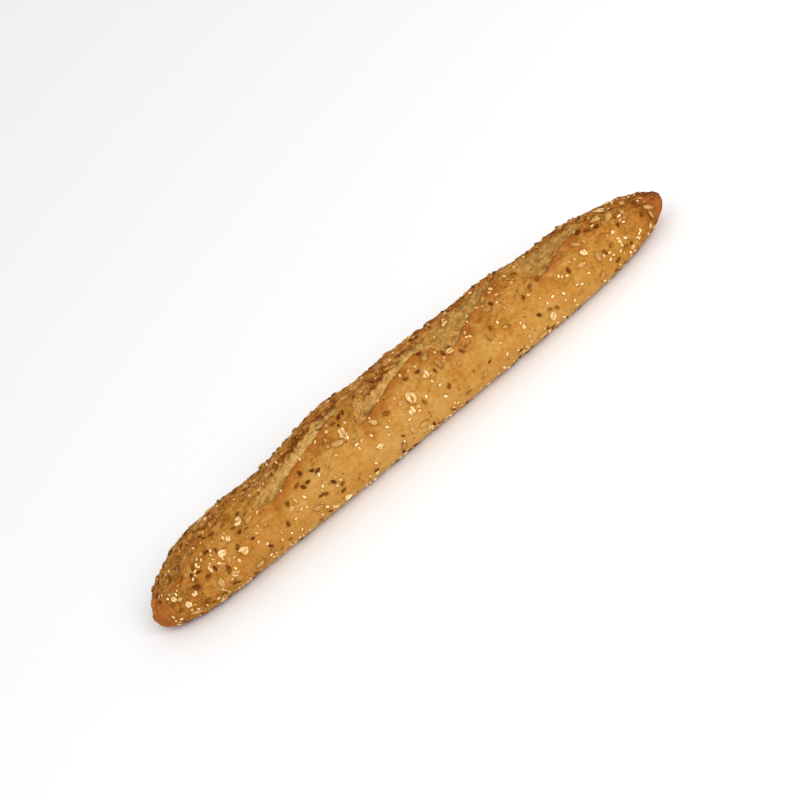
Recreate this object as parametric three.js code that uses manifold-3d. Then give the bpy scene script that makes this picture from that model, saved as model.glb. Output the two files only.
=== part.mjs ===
// A seeded multigrain baguette: one baked loaf on a flat base, with five oblique slashes along one side
// of its crown. Each slash gapes over torn crumb, and its upper lip stands up as an ear. Oat flakes,
// sunflower kernels and linseeds are baked into the crust, so the whole loaf is a single solid.
// Millimetres. +X runs along the loaf to its slim end, -Y is the side that the slashes open to, +Z is
// up, and the origin is the middle of the flat base.
import * as THREE from "three";
import { mergeVertices } from "three/addons/utils/BufferGeometryUtils.js";
import Module from "manifold-3d";

const { clamp, degToRad, lerp, smoothstep } = THREE.MathUtils;
const wasm = await Module();
wasm.setup();

// ---------------------------------------------------------------- driving dimensions

const LENGTH = 480;
const BLUNT_NOSE = 72; // the -X end rounds off over this length
const SLIM_NOSE = 109; // and the +X end over this one
const HALF_WIDTH = 35;
const BELT_HEIGHT = 22; // of the loaf's widest line
const CROWN_RISE = 27.4; // above the belt
const BELLY = { rise: 3.4, at: -25, length: 85 }; // the fuller middle of the crown
const KEEL_DROP = 25; // below the belt, where the tray has not flattened the loaf
const UPPER_POWER = 2.1; // superellipse powers of the section, 2 for an ellipse
const LOWER_POWER = 2.5;
const BLUNT_TIP_HEIGHT = 9;
const SLIM_TIP_HEIGHT = 16.5;
const BLUNT_LIFT = 1.3; // powers above 1, so that the noses keep their tips' height until the section
const SLIM_LIFT = 4.5; // is nearly full
const BLUNT_TAPER = { share: 0.05, from: 60, to: 190 }; // of the section, lost between two places
const SLIM_TAPER = { share: 0.12, from: 40, to: 190 };

// A slash runs between two places along X, from a low angle to a high one, both measured from the
// crown towards -Y. It gapes at its widest near its low end, and its near lip sags at one place. The
// crust behind it swells near its high end and draws in near its low end. The fourth is the tear that
// joins the third slash to the last but one, down the far side of a swell.
const SLASHES = [
  {
    from: -222, to: -150, low: 33, high: -9, gape: 8,
    sag: 0, sagAt: 0, ear: 1.8, swell: -0.6, waist: 2.4,
  },
  {
    from: -135, to: -29, low: 32, high: 1, gape: 13,
    sag: 4, sagAt: -113, ear: 3.6, swell: 4.2, waist: 4,
  },
  {
    from: -38, to: 39, low: 41, high: -1, gape: 10,
    sag: 5, sagAt: 34, ear: 3, swell: 1.8, waist: -0.6,
  },
  {
    from: 24, to: 47, low: 2, high: 27, gape: 8,
    sag: 0, sagAt: 0, ear: 0, swell: 0, waist: 0,
  },
  {
    from: 40, to: 116, low: 21.5, high: -11.5, gape: 19,
    sag: 5.5, sagAt: 55, ear: 0.4, swell: 3.2, waist: 0.3,
  },
  {
    from: 120, to: 190, low: 6.5, high: -3.5, gape: 23,
    sag: 7, sagAt: 137, ear: 0.4, swell: 2.2, waist: 1.2,
  },
];
const SAG_LENGTH = 9; // of a lip's sag along X, each way
const SLASH_BOW = 5; // degrees that the middle of a slash bows upwards
const OPENS = { from: -0.04, to: 0.12 }; // shares of its length over which a slash opens and closes
const CLOSES = { from: 0.86, to: 1.06 };
const LEAF = { flat: 0.5, eared: 0.7 }; // powers below 1, so that a slash is widest near its low end
const LEAST_GAPE = 1;
const LEAST_GIRTH = 0.4; // that the width of a slash is measured on
const CRUMB_DEPTH = 2.4; // of the torn floor of a slash
const FLOOR_CLIMB = 0.6; // share of the depth that the floor loses towards its far lip, without an ear
const EDGE_TURN = 1; // each side of an edge of the floor, where the skin turns down
const RIM_RISE = 0.9; // of the near lip
const RIM_WIDTH = 2.2;
const EAR_TOP = 3; // width of the level top of an ear
const EAR_WIDTH = 17; // over which an ear falls back to the crust
const EAR_OVERHANG = { reach: 2, at: 1.5, width: 2.5 }; // of its lip over the torn floor
const SWELL = { along: 0.79, length: 24 }; // share of a slash's length where it lies, and its size
const WAIST = { along: 0.17, length: 20 };
const PUFF = { angle: 0.2, spread: degToRad(45) }; // of swells and waists, around the section

const RING_STEP = 6; // between sections of the faceted loaf
const FIRST_RING = 0.5; // from the tip
const RING_GROWTH = 1.5; // of the steps away from a tip
const FINE_SIDE = { from: degToRad(-74), to: degToRad(18), steps: 17 };
const COARSE_STEPS = 13;
const SLOPE_STEP = 0.01; // mm or radians, over which the skin's slope is measured
const WELD = 1e-4; // between points that are one point

// Toppings, largest first: length, width and thickness, the sides and layers of their facets, and how
// far they narrow to one end.
const OAT = { count: 28, size: [7.8, 6.4, 1.8], sides: 7, layers: 3, point: 0 };
const KERNEL = { count: 68, size: [9.6, 4.8, 3], sides: 6, layers: 4, point: 0.55 };
const LINSEED = { count: 38, size: [5, 2.6, 2], sides: 5, layers: 3, point: 0.3 };
const TOPPINGS = [OAT, KERNEL, LINSEED];

// The toppings that stand out on the slashed side, by hand: place along X, and degrees from the crown
// towards -Y, turn and scale.
const STANDING_OUT = [
  { kind: OAT, x: 7, angle: 55, turn: 60, scale: 1.3 },
  { kind: OAT, x: -47, angle: 35, turn: 80, scale: 1 },
  { kind: OAT, x: -33, angle: 80, turn: 20, scale: 0.75 },
  { kind: OAT, x: 122, angle: 94, turn: 40, scale: 0.95 },
  { kind: OAT, x: 168, angle: 44, turn: 60, scale: 0.85 },
  { kind: OAT, x: 25, angle: 44, turn: 90, scale: 0.75 },
  { kind: OAT, x: -146, angle: 29, turn: 10, scale: 1 },
  { kind: OAT, x: -155, angle: 69, turn: 170, scale: 1 },
  { kind: OAT, x: -211, angle: 80, turn: 100, scale: 0.8 },
  { kind: OAT, x: -168, angle: 51, turn: 170, scale: 0.85 },
  { kind: OAT, x: 49, angle: 39, turn: 160, scale: 0.8 },
  { kind: OAT, x: 59, angle: -5, turn: 10, scale: 0.9 },
  { kind: OAT, x: -202, angle: 70, turn: 70, scale: 0.7 },
  { kind: OAT, x: -170, angle: 89, turn: 140, scale: 0.8 },
  { kind: OAT, x: -158, angle: 40, turn: 60, scale: 0.6 },
  { kind: OAT, x: -217, angle: 53, turn: 120, scale: 0.7 },
  { kind: OAT, x: -73, angle: 111, turn: 0, scale: 0.9 },
  { kind: OAT, x: 219, angle: 97, turn: 20, scale: 0.65 },
  { kind: KERNEL, x: -25, angle: 50, turn: 125, scale: 0.95 },
  { kind: KERNEL, x: -55, angle: 41, turn: 170, scale: 1 },
  { kind: KERNEL, x: 37, angle: 43, turn: 100, scale: 0.95 },
  { kind: KERNEL, x: 88, angle: 25, turn: 170, scale: 0.95 },
  { kind: KERNEL, x: 168, angle: 98, turn: 60, scale: 0.9 },
  { kind: KERNEL, x: 190, angle: 8, turn: 130, scale: 1 },
  { kind: KERNEL, x: -182, angle: 85, turn: 70, scale: 1 },
  { kind: KERNEL, x: -190, angle: 122, turn: 15, scale: 1 },
  { kind: KERNEL, x: -168, angle: 124, turn: 160, scale: 0.95 },
  { kind: KERNEL, x: 167, angle: 25, turn: 95, scale: 0.9 },
  { kind: KERNEL, x: 174, angle: 64, turn: 70, scale: 0.9 },
  { kind: KERNEL, x: -138, angle: 38, turn: 10, scale: 0.9 },
  { kind: KERNEL, x: -56, angle: 6, turn: 10, scale: 1 },
  { kind: KERNEL, x: -31, angle: 0, turn: 160, scale: 0.85 },
  { kind: KERNEL, x: -7, angle: 91, turn: 90, scale: 0.9 },
  { kind: KERNEL, x: 2, angle: 95, turn: 0, scale: 0.9 },
  { kind: KERNEL, x: 58, angle: 96, turn: 30, scale: 0.8 },
  { kind: KERNEL, x: 224, angle: 74, turn: 60, scale: 0.9 },
  { kind: LINSEED, x: -171, angle: 74, turn: 100, scale: 1 },
  { kind: LINSEED, x: -177, angle: 34, turn: 25, scale: 1.1 },
  { kind: LINSEED, x: -142, angle: 20, turn: 0, scale: 1 },
  { kind: LINSEED, x: -138, angle: 28, turn: 15, scale: 1 },
  { kind: LINSEED, x: -109, angle: 57, turn: 45, scale: 1.1 },
  { kind: LINSEED, x: -96, angle: 47, turn: 20, scale: 1.1 },
  { kind: LINSEED, x: -89, angle: 38, turn: 105, scale: 1.1 },
  { kind: LINSEED, x: -81, angle: 45, turn: 150, scale: 1.1 },
  { kind: LINSEED, x: -84, angle: 82, turn: 140, scale: 1 },
  { kind: LINSEED, x: -14, angle: 51, turn: 150, scale: 1.2 },
  { kind: LINSEED, x: 12, angle: 70, turn: 95, scale: 1 },
  { kind: LINSEED, x: 12, angle: 32, turn: 150, scale: 1.1 },
  { kind: LINSEED, x: 22, angle: 34, turn: 170, scale: 1.1 },
  { kind: LINSEED, x: 56, angle: 49, turn: 110, scale: 1 },
  { kind: LINSEED, x: 82, angle: 48, turn: 55, scale: 1 },
  { kind: LINSEED, x: 114, angle: 42, turn: 80, scale: 0.9 },
  { kind: LINSEED, x: 123, angle: 82, turn: 140, scale: 1 },
  { kind: LINSEED, x: 128, angle: 88, turn: 110, scale: 1 },
  { kind: LINSEED, x: 151, angle: 53, turn: 75, scale: 1.1 },
  { kind: LINSEED, x: 187, angle: 64, turn: 10, scale: 1 },
  { kind: LINSEED, x: 51, angle: 32, turn: 30, scale: 1 },
  { kind: LINSEED, x: 44, angle: 35, turn: 110, scale: 1 },
  { kind: LINSEED, x: 32, angle: 46, turn: 80, scale: 0.9 },
  { kind: LINSEED, x: -42, angle: 17, turn: 10, scale: 1 },
  { kind: LINSEED, x: -38, angle: 14, turn: 40, scale: 1 },
  { kind: LINSEED, x: 174, angle: 12, turn: 0, scale: 1.2 },
  { kind: LINSEED, x: 180, angle: 17, turn: 150, scale: 1.2 },
  { kind: LINSEED, x: 188, angle: 20, turn: 130, scale: 1.3 },
  { kind: LINSEED, x: 220, angle: 14, turn: 170, scale: 1 },
  { kind: LINSEED, x: 185, angle: 95, turn: 10, scale: 1.2 },
  { kind: LINSEED, x: -211, angle: 16, turn: 60, scale: 1.1 },
  { kind: LINSEED, x: -166, angle: 17, turn: 20, scale: 1.1 },
  { kind: LINSEED, x: -198, angle: 64, turn: 150, scale: 1.3 },
  { kind: LINSEED, x: -186, angle: 64, turn: 170, scale: 1.1 },
  { kind: LINSEED, x: -138, angle: 90, turn: 130, scale: 1 },
];
const TOPPING_CLEARANCE = 9; // between the middles of two toppings
const CRUMB_MARGIN = 3; // kept clear beside the torn floor of a slash
const TOPPING_SINK = 0.1; // share of its thickness that a topping lies below the middle
const FALL_HEIGHT = 10; // above the crust, from which a topping falls onto it
const TOPPING_SCALE = { from: 0.72, to: 1.08 };
const BARE_TIP = 12; // length without toppings at each tip
const SEEDED_ANGLE = degToRad(118); // from the crown, down to the edge of the base
// How thickly toppings lie, from 0 to 1: the least anywhere, and most at the ends, crown and foot.
const SPARSE = 0.22;
const BLUNT_END = { from: 110, to: 170 };
const SLIM_END = { share: 0.6, from: 130, to: 190 };
const CROWN = { share: 0.95, angle: degToRad(8), spread: degToRad(48) };
const FOOT = { share: 0.6, from: degToRad(96), to: degToRad(112) };
const NOSE_CROWDING = 1.3; // times the girth, at most 1, so that the noses get fewer
const DRAWS = { seed: 20417, factor: 48271, modulus: 2147483647 };

// ---------------------------------------------------------------- the loaf's skin

/** Share of the full section at x: an elliptical nose at each end and a slow taper to both. */
function girth(x) {
  const blunt = 1 - clamp((x + LENGTH / 2) / BLUNT_NOSE, 0, 1);
  const slim = 1 - clamp((LENGTH / 2 - x) / SLIM_NOSE, 0, 1);
  const noses = Math.sqrt((1 - blunt * blunt) * (1 - slim * slim));
  const bluntTaper = BLUNT_TAPER.share * smoothstep(-x, BLUNT_TAPER.from, BLUNT_TAPER.to);
  const slimTaper = SLIM_TAPER.share * smoothstep(x, SLIM_TAPER.from, SLIM_TAPER.to);
  return noses * (1 - bluntTaper - slimTaper);
}

/** Signed power, which keeps the sign of its base. */
function signedPower(base, power) {
  return Math.sign(base) * Math.abs(base) ** power;
}

/** The plain loaf at x, at an angle from the crown that grows towards +Y. */
function plainSkin(x, angle) {
  const share = girth(x);
  const upper = Math.cos(angle) > 0;
  const power = 2 / (upper ? UPPER_POWER : LOWER_POWER);
  const tip = x < 0 ? BLUNT_TIP_HEIGHT : SLIM_TIP_HEIGHT;
  const middle = lerp(tip, BELT_HEIGHT, share ** (x < 0 ? BLUNT_LIFT : SLIM_LIFT));
  const crown = CROWN_RISE + BELLY.rise * hump((x - BELLY.at) / BELLY.length);
  const reach = share * (upper ? crown : KEEL_DROP);
  const y = share * HALF_WIDTH * signedPower(Math.sin(angle), power);
  const z = middle + reach * signedPower(Math.cos(angle), power);
  return new THREE.Vector3(x, y, z);
}

/** A smooth hump: 1 at 0, and nothing beyond about 2. */
function hump(t) {
  return Math.exp(-t * t);
}

/** Where (x, angle) lies beside a slash: mm across it, up positive, how open it is, and its two lips. */
function besideSlash(slash, x, angle) {
  const along = (x - slash.from) / (slash.to - slash.from);
  const inner = clamp(along, 0, 1);
  const bow = SLASH_BOW * Math.sin(Math.PI * inner);
  const middle = -degToRad(lerp(slash.low, slash.high, inner) - bow);
  const across = (angle - middle) * HALF_WIDTH * Math.max(girth(x), LEAST_GIRTH);
  const closed = smoothstep(along, CLOSES.from, CLOSES.to);
  const open = smoothstep(along, OPENS.from, OPENS.to) * (1 - closed);
  const leaf = lerp(LEAF.flat, LEAF.eared, Math.min(1, slash.ear));
  const gape = slash.gape * Math.sin(Math.PI * inner ** leaf);
  const farLip = Math.max(LEAST_GAPE, gape) / 2;
  const nearLip = -farLip - slash.sag * hump((x - slash.sagAt) / SAG_LENGTH);
  return { across, open, nearLip, farLip };
}

/** How far the slashes move the skin: out along its normal, and down its side towards -Y. */
function slashRelief(x, angle) {
  let out = 0;
  let slip = 0;
  for (const slash of SLASHES) {
    const { across, open, nearLip, farLip } = besideSlash(slash, x, angle);
    const inside = smoothstep(across, nearLip - EDGE_TURN, nearLip + EDGE_TURN);
    const past = smoothstep(across, farLip - EDGE_TURN, farLip + EDGE_TURN);
    const fall = 1 - smoothstep(across, farLip + EAR_TOP, farLip + EAR_WIDTH);
    out += open * RIM_RISE * hump((across - nearLip + RIM_WIDTH) / RIM_WIDTH);
    const up = clamp((across - nearLip) / (farLip - nearLip), 0, 1);
    const hasEar = Math.min(1, slash.ear);
    const depth = lerp(1 - FLOOR_CLIMB * up, 1 - (FLOOR_CLIMB * (1 - up)) / 2, hasEar);
    out -= open * CRUMB_DEPTH * depth * (inside - past);
    out += open * slash.ear * past * fall;
    const lifted = hump((across - farLip - EAR_OVERHANG.at) / EAR_OVERHANG.width);
    slip += hasEar * open * EAR_OVERHANG.reach * lifted;
    const swell = slash.swell * hump((x - lerp(slash.from, slash.to, SWELL.along)) / SWELL.length);
    const waist = slash.waist * hump((x - lerp(slash.from, slash.to, WAIST.along)) / WAIST.length);
    out += (swell - waist) * hump((angle - PUFF.angle) / PUFF.spread);
  }
  return { out, slip };
}

/** Outward normal of the plain loaf. */
function outward(x, angle) {
  const inX = clamp(x, -LENGTH / 2 + 2 * SLOPE_STEP, LENGTH / 2 - 2 * SLOPE_STEP);
  const along = plainSkin(inX + SLOPE_STEP, angle).sub(plainSkin(inX - SLOPE_STEP, angle));
  const around = plainSkin(inX, angle + SLOPE_STEP).sub(plainSkin(inX, angle - SLOPE_STEP));
  return around.cross(along).normalize().negate();
}

/** The finished loaf at x and angle, flattened where it stood on the tray. */
function skin(x, angle) {
  const point = plainSkin(x, angle);
  const normal = outward(x, angle);
  const { out, slip } = slashRelief(x, angle);
  const downSide = new THREE.Vector3(0, normal.z, -normal.y).multiplyScalar(-slip);
  point.addScaledVector(normal, out).add(downSide);
  point.z = Math.max(point.z, 0);
  return point;
}

// ---------------------------------------------------------------- the loaf as facets

/** Places of the sections along X, crowded at the tips. */
function sectionPlaces() {
  const half = [];
  let step = FIRST_RING;
  for (let fromTip = FIRST_RING; fromTip < LENGTH / 2 - RING_STEP / 2; fromTip += step) {
    half.push(LENGTH / 2 - fromTip);
    step = Math.min(step * RING_GROWTH, RING_STEP);
  }
  return [...half.map((x) => -x), ...half.toReversed()];
}

/** Angles around one section, fine on the slashed side. */
function sectionAngles() {
  const { from, to, steps } = FINE_SIDE;
  const angles = [];
  for (let i = 0; i < steps; i++) {
    angles.push(lerp(from, to, i / steps));
  }
  for (let i = 0; i < COARSE_STEPS; i++) {
    angles.push(lerp(to, from + 2 * Math.PI, i / COARSE_STEPS));
  }
  return angles;
}

/** The skin as a closed grid: rings of points, with one point at each tip. */
function loafGeometry() {
  const places = sectionPlaces();
  const angles = sectionAngles();
  const around = angles.length;
  const points = [new THREE.Vector3(-LENGTH / 2, 0, BLUNT_TIP_HEIGHT)];
  for (const x of places) {
    points.push(...angles.map((angle) => skin(x, angle)));
  }
  points.push(new THREE.Vector3(LENGTH / 2, 0, SLIM_TIP_HEIGHT));
  const last = points.length - 1;
  const triangles = [];
  for (let i = 0; i < around; i++) {
    const next = (i + 1) % around;
    triangles.push(0, 1 + i, 1 + next);
    triangles.push(last, last - around + next, last - around + i);
    for (let ring = 0; ring < places.length - 1; ring++) {
      const near = 1 + ring * around;
      const far = near + around;
      triangles.push(near + i, far + i, far + next, near + i, far + next, near + next);
    }
  }
  const geometry = new THREE.BufferGeometry().setFromPoints(points);
  geometry.setIndex(triangles);
  return geometry;
}

// ---------------------------------------------------------------- toppings

/** Repeatable draws between 0 and 1. */
function makeDraw() {
  let state = DRAWS.seed;
  return () => {
    state = (state * DRAWS.factor) % DRAWS.modulus;
    return state / DRAWS.modulus;
  };
}

/** How thickly the toppings lie at (x, angle), from 0 to 1. */
function crowding(x, angle) {
  const blunt = smoothstep(-x, BLUNT_END.from, BLUNT_END.to);
  const slim = SLIM_END.share * smoothstep(x, SLIM_END.from, SLIM_END.to);
  const crown = CROWN.share * hump((angle - CROWN.angle) / CROWN.spread);
  const foot = FOOT.share * smoothstep(Math.abs(angle), FOOT.from, FOOT.to);
  return Math.max(SPARSE, blunt, slim, crown, foot) * Math.min(1, NOSE_CROWDING * girth(x));
}

/** Whether (x, angle) lies on the torn floor of a slash, or within a margin of it. */
function onCrumb(x, angle, margin) {
  return SLASHES.some((slash) => {
    const { across, open, nearLip, farLip } = besideSlash(slash, x, angle);
    return open > 0 && across > nearLip - margin && across < farLip + margin;
  });
}

/** Places for every topping, drawn largest kind first and kept apart on the unrolled skin. */
function scatterToppings() {
  const draw = makeDraw();
  const placed = STANDING_OUT.map((topping) => ({
    ...topping,
    angle: -degToRad(topping.angle),
    turn: degToRad(topping.turn),
  }));
  for (const kind of TOPPINGS) {
    let left = kind.count - placed.filter((topping) => topping.kind === kind).length;
    while (left > 0) {
      const x = lerp(-1, 1, draw()) * (LENGTH / 2 - BARE_TIP);
      const angle = lerp(-1, 1, draw()) * SEEDED_ANGLE;
      const turn = 2 * Math.PI * draw();
      const scale = lerp(TOPPING_SCALE.from, TOPPING_SCALE.to, draw());
      const wanted = draw() < crowding(x, angle);
      const clear = placed.every(
        (other) => Math.hypot(other.x - x, (other.angle - angle) * HALF_WIDTH) > TOPPING_CLEARANCE
      );
      if (wanted && clear && !onCrumb(x, angle, CRUMB_MARGIN)) {
        placed.push({ kind, x, angle, turn, scale });
        left--;
      }
    }
  }
  return placed;
}

/** One topping about its own middle: length on X, drawn in towards +X, thickness on Z. */
function toppingGeometry({ size, sides, layers, point }) {
  const geometry = new THREE.SphereGeometry(0.5, sides, layers).rotateX(Math.PI / 2);
  const position = geometry.attributes.position;
  for (let i = 0; i < position.count; i++) {
    const narrow = 1 - point * Math.max(0, position.getX(i) * 2);
    position.setXYZ(i, position.getX(i), position.getY(i) * narrow, position.getZ(i));
  }
  return geometry.scale(...size);
}

/** Lays a topping on the facet that it falls on, turned about the skin's normal. */
function laidTopping(topping, loaf) {
  const { kind, x, angle, turn, scale } = topping;
  const normal = outward(x, angle);
  const start = skin(x, angle).addScaledVector(normal, FALL_HEIGHT);
  const ray = new THREE.Raycaster(start, normal.clone().negate());
  const [hit] = ray.intersectObject(loaf);
  const place = hit.point.addScaledVector(normal, -TOPPING_SINK * kind.size[2]);
  const upright = new THREE.Quaternion().setFromUnitVectors(new THREE.Vector3(0, 0, 1), normal);
  const spin = new THREE.Quaternion().setFromAxisAngle(new THREE.Vector3(0, 0, 1), turn);
  const size = new THREE.Vector3(scale, scale, scale);
  const matrix = new THREE.Matrix4().compose(place, upright.multiply(spin), size);
  return toppingGeometry(kind).applyMatrix4(matrix);
}

// ---------------------------------------------------------------- one solid

/** A closed geometry as a solid. */
function toSolid(geometry) {
  const bare = new THREE.BufferGeometry();
  bare.setAttribute("position", geometry.getAttribute("position"));
  bare.setIndex(geometry.getIndex());
  const merged = mergeVertices(bare, WELD);
  const vertProperties = new Float32Array(merged.getAttribute("position").array);
  const triVerts = new Uint32Array(merged.getIndex().array);
  return new wasm.Manifold(new wasm.Mesh({ numProp: 3, vertProperties, triVerts }));
}

/** A solid as a geometry with flat facets. */
function toGeometry(solid) {
  const mesh = solid.getMesh();
  const geometry = new THREE.BufferGeometry();
  geometry.setAttribute("position", new THREE.BufferAttribute(mesh.vertProperties, 3));
  geometry.setIndex(new THREE.BufferAttribute(mesh.triVerts, 1));
  return geometry;
}

/** The loaf with its toppings baked in. */
function bake() {
  const plain = new THREE.Mesh(loafGeometry(), new THREE.MeshBasicMaterial({ side: THREE.DoubleSide }));
  let solid = toSolid(plain.geometry);
  for (const topping of scatterToppings()) {
    solid = solid.add(toSolid(laidTopping(topping, plain)));
  }
  return toGeometry(solid);
}

const crust = new THREE.MeshStandardMaterial({ color: 0xc98e45, roughness: 0.75, metalness: 0 });
const baguette = new THREE.Mesh(bake(), crust);
baguette.name = "baguette";

const group = new THREE.Group();
group.add(baguette);
export default group;
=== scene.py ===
import math
from collections import namedtuple

import bpy
import numpy as np
from mathutils import Matrix, Vector, kdtree, noise


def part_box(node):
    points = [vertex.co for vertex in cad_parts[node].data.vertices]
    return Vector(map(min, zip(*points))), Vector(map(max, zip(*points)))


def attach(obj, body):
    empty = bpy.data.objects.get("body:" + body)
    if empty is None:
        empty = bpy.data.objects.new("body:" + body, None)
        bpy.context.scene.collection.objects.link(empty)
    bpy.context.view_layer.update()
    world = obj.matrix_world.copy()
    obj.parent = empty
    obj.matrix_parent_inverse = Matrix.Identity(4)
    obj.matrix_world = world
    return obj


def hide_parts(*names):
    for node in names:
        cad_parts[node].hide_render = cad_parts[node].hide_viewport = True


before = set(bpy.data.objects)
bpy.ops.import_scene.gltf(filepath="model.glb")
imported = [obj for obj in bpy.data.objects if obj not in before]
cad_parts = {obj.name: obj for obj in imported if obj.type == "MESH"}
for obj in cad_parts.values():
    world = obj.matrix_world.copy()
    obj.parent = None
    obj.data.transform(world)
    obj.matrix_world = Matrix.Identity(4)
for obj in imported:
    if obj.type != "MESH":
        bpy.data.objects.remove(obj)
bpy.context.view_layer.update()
bpy.ops.object.select_all(action="DESELECT")

# ------------------------------------------------------------------ Camera
# A long lens looks down on the side that the slashes open to. It is rolled, so that the loaf climbs
# from the lower left of the view to the upper right.
LOOK_DOWN = math.radians(35)
ROLL = math.radians(39.6)
DISTANCE = 1.7
LENS = 105.6
FAR_CLIP = 20
AIM = Vector((0, 0, 0.028))
SHIFT_RIGHT = 0.0017
SHIFT_UP = -0.0030

level_right = Vector((1, 0, 0))
level_up = Vector((0, math.sin(LOOK_DOWN), math.cos(LOOK_DOWN)))
back = Vector((0, -math.cos(LOOK_DOWN), math.sin(LOOK_DOWN)))
right = math.cos(ROLL) * level_right - math.sin(ROLL) * level_up
up = math.sin(ROLL) * level_right + math.cos(ROLL) * level_up
turn = Matrix((right, up, back)).transposed().to_euler()
place = AIM + DISTANCE * back + SHIFT_RIGHT * right + SHIFT_UP * up
bpy.ops.object.camera_add(location=place, rotation=turn)
camera = bpy.context.object
camera.name = "camera"
camera.data.lens = LENS
camera.data.clip_end = FAR_CLIP
bpy.context.scene.camera = camera

# ------------------------------------------------------------------ Floor and light
# A plain white floor under a white sky, matt and without a pattern. One large soft lamp stands to the
# right of the camera, so that the shade falls softly on the loaf's far side.
FLOOR_SIZE = 12
FLOOR_COLOUR = (0.97, 0.97, 0.97, 1)
FLOOR_ROUGHNESS = 0.9
SKY_COLOUR = (1, 1, 1, 1)
SKY_STRENGTH = 0.82
LAMP_SIZE = 0.9
LAMP_POWER = 17
LAMP_PLACE = Vector((0.75, -1.35, 1.15))

bpy.ops.mesh.primitive_plane_add(size=FLOOR_SIZE)
floor = bpy.context.object
floor.name = "floor"
floor_paint = bpy.data.materials.new("floor_paint")
floor_paint.use_nodes = True
floor_shader = floor_paint.node_tree.nodes["Principled BSDF"]
floor_shader.inputs["Base Color"].default_value = FLOOR_COLOUR
floor_shader.inputs["Roughness"].default_value = FLOOR_ROUGHNESS
floor.data.materials.append(floor_paint)

sky = bpy.context.scene.world or bpy.data.worlds.new("sky")
bpy.context.scene.world = sky
sky.use_nodes = True
sky_light = sky.node_tree.nodes["Background"]
sky_light.inputs["Color"].default_value = SKY_COLOUR
sky_light.inputs["Strength"].default_value = SKY_STRENGTH

lamp_turn = (AIM - LAMP_PLACE).to_track_quat("-Z", "Y").to_euler()
bpy.ops.object.light_add(type="AREA", location=LAMP_PLACE, rotation=lamp_turn)
lamp = bpy.context.object
lamp.name = "soft_lamp"
lamp.data.size = LAMP_SIZE
lamp.data.energy = LAMP_POWER
bpy.context.scene.view_settings.view_transform = "Standard"

# ------------------------------------------------------------------ Crust
# The baked loaf: a crisp golden crust with five oblique slashes, torn open over pale crumb, each with
# an ear of browner crust on its upper side. A ball is drawn out to the loaf's skin. Sizes are in mm.
MM = 0.001
cad_low, cad_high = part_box("baguette")
LENGTH = (cad_high.x - cad_low.x) / MM
BLUNT_NOSE = 72
SLIM_NOSE = 109
HALF_WIDTH = 35
BELT_HEIGHT = 22
CROWN_RISE = 27.4
BELLY_RISE, BELLY_AT, BELLY_LENGTH = 3.4, -25, 85
KEEL_DROP = 25
UPPER_POWER, LOWER_POWER = 2.1, 2.5
BLUNT_TIP_HEIGHT, SLIM_TIP_HEIGHT = 9, 16.5
BLUNT_LIFT, SLIM_LIFT = 1.3, 4.5
BLUNT_TAPER, BLUNT_TAPER_FROM, BLUNT_TAPER_TO = 0.05, 60, 190
SLIM_TAPER, SLIM_TAPER_FROM, SLIM_TAPER_TO = 0.12, 40, 190

# A slash runs along X from a low angle below the crown to a high one, in degrees, with how wide it
# gapes, how far its near lip sags and where, how high its ear stands, how the crust behind it swells
# and draws in, how much of its floor is bare crumb and how much of its lip is burnt. The fourth is the
# tear that joins two slashes.
Slash = namedtuple("Slash", "start end low high gape sag sag_at ear swell waist bare burnt")
SLASHES = [
    Slash(-222, -150, 33, -9, 8, 0, 0, 1.8, -0.6, 2.4, 0.64, 0.5),
    Slash(-135, -29, 32, 1, 13, 4, -113, 3.6, 4.2, 4, 1, 1),
    Slash(-38, 39, 41, -1, 10, 5, 34, 3, 1.8, -0.6, 1, 1),
    Slash(24, 47, 2, 27, 8, 0, 0, 0, 0, 0, 1, 0),
    Slash(40, 116, 21.5, -11.5, 19, 5.5, 55, 0.4, 3.2, 0.3, 0.68, 0.7),
    Slash(120, 190, 6.5, -3.5, 23, 7, 137, 0.4, 2.2, 1.2, 0.62, 0.45),
]
SAG_LENGTH = 9
SLASH_BOW = 5
OPENS_FROM, OPENS_TO = -0.04, 0.12
CLOSES_FROM, CLOSES_TO = 0.86, 1.06
LEAF_FLAT, LEAF_EARED = 0.5, 0.7
LEAST_GAPE, LEAST_GIRTH = 1, 0.4
NEAR_TURN, FAR_TURN, RIM_TURN = 1.2, 0.7, 1  # each side of an edge, over which it turns down
CALM_LIP = 4  # half width of a slash, below which its near lip waves less
CRUMB_DEPTH, FLOOR_CLIMB = 2.4, 0.6
RIM_RISE, RIM_WIDTH = 0.9, 2.2
EAR_FROM, EAR_TO = 0.06, 0.34  # shares of a slash's length over which its ear begins
EAR_TOP, EAR_WIDTH = 3, 17
EAR_OVERHANG, OVERHANG_AT, OVERHANG_WIDTH = 2.0, 1.3, 2.4
SWELL_ALONG, SWELL_LENGTH = 0.79, 24
WAIST_ALONG, WAIST_LENGTH = 0.17, 20
PUFF_ANGLE, PUFF_SPREAD = 0.2, math.radians(45)

# Where the finishes lie across a slash.
BARE_FROM, BARE_TO = 3, 9
BURNT_AT, BURNT_WIDTH = 0.8, 1.9
BROWN_RIM_AT, BROWN_RIM_WIDTH = 0.5, 1
GLOW_AT, GLOW_WIDTH_FLAT, GLOW_WIDTH_EARED = 1, 11, 7
FRINGE_FROM, FRINGE_TO, FRINGE_WIDTH = 0.2, 0.5, 9
NARROW_LIP = 2  # half width of a slash at which its rim is half as marked
GRAIN_REACH, GRAIN_SHARE, GRAIN_APART = 16, 0.2, 40  # of fibres that run along a slash

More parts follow.
